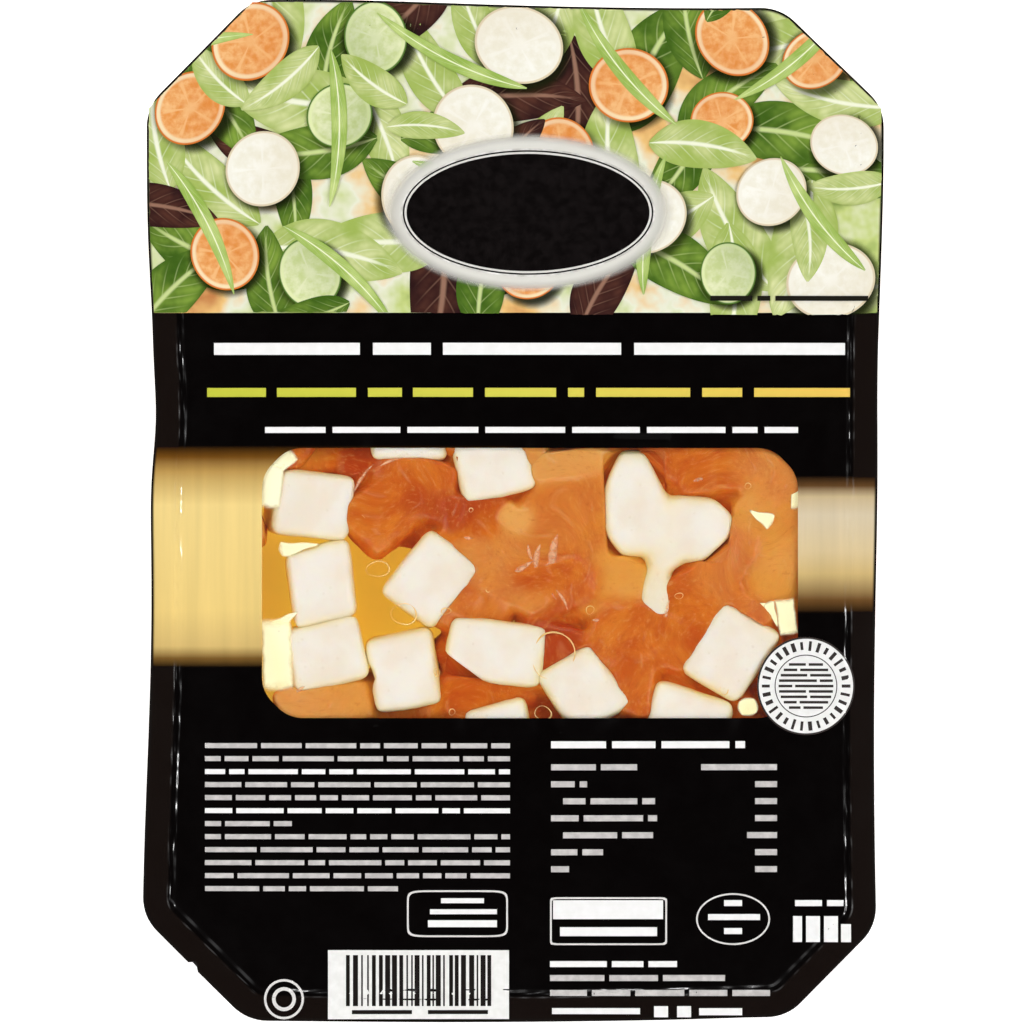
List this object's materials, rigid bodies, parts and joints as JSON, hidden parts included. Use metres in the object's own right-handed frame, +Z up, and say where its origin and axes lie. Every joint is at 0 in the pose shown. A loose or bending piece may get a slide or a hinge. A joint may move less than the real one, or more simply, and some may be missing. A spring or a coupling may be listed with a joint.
{
  "type": "vacuum pack of smoked salmon and cheese cubes",
  "caption": "Flat sealed food tray with clear walls, a printed film lid with a clear window, and salmon pieces with white cheese cubes in oil inside.",
  "frame": {"origin": "under the middle of the tray, on its flat underside", "axes": "+X across the pack, +Y along it towards the top of the print, +Z up out of the printed lid"},
  "size_m": [0.1234, 0.1704, 0.0116],
  "materials": {
    "tray_plastic": "clear, glossy formed plastic",
    "film_clear": "clear, glossy film",
    "film_print": "black and coloured print under film, satin",
    "salmon": "moist orange fish, wet with oil",
    "cheese": "soft white cheese, wet with oil",
    "oil": "clear amber oil"
  },
  "bodies": {
    "root": {"tray": "tray_plastic", "sealing_film": "film_clear", "printed_ply": "film_print", "salmon_heap": "salmon", "cheese_01": "cheese", "cheese_02": "cheese", "cheese_03": "cheese", "cheese_04": "cheese", "cheese_05": "cheese", "cheese_06": "cheese", "cheese_07": "cheese", "cheese_08": "cheese", "cheese_09": "cheese", "cheese_10": "cheese", "cheese_11": "cheese", "cheese_12": "cheese", "cheese_13": "cheese", "cheese_14": "cheese", "cheese_15": "cheese", "cheese_16": "cheese", "cheese_17": "cheese", "cheese_18": "cheese", "cheese_19": "cheese", "cheese_20": "cheese", "cheese_21": "cheese", "cheese_22": "cheese", "cheese_23": "cheese", "cheese_24": "cheese", "cheese_25": "cheese", "cheese_26": "cheese", "cheese_27": "cheese", "cheese_28": "cheese", "cheese_29": "cheese", "cheese_30": "cheese", "cheese_31": "cheese", "cheese_32": "cheese", "cheese_33": "cheese", "cheese_34": "cheese", "cheese_35": "cheese", "cheese_36": "cheese", "cheese_37": "cheese"}
  },
  "joints": []
}
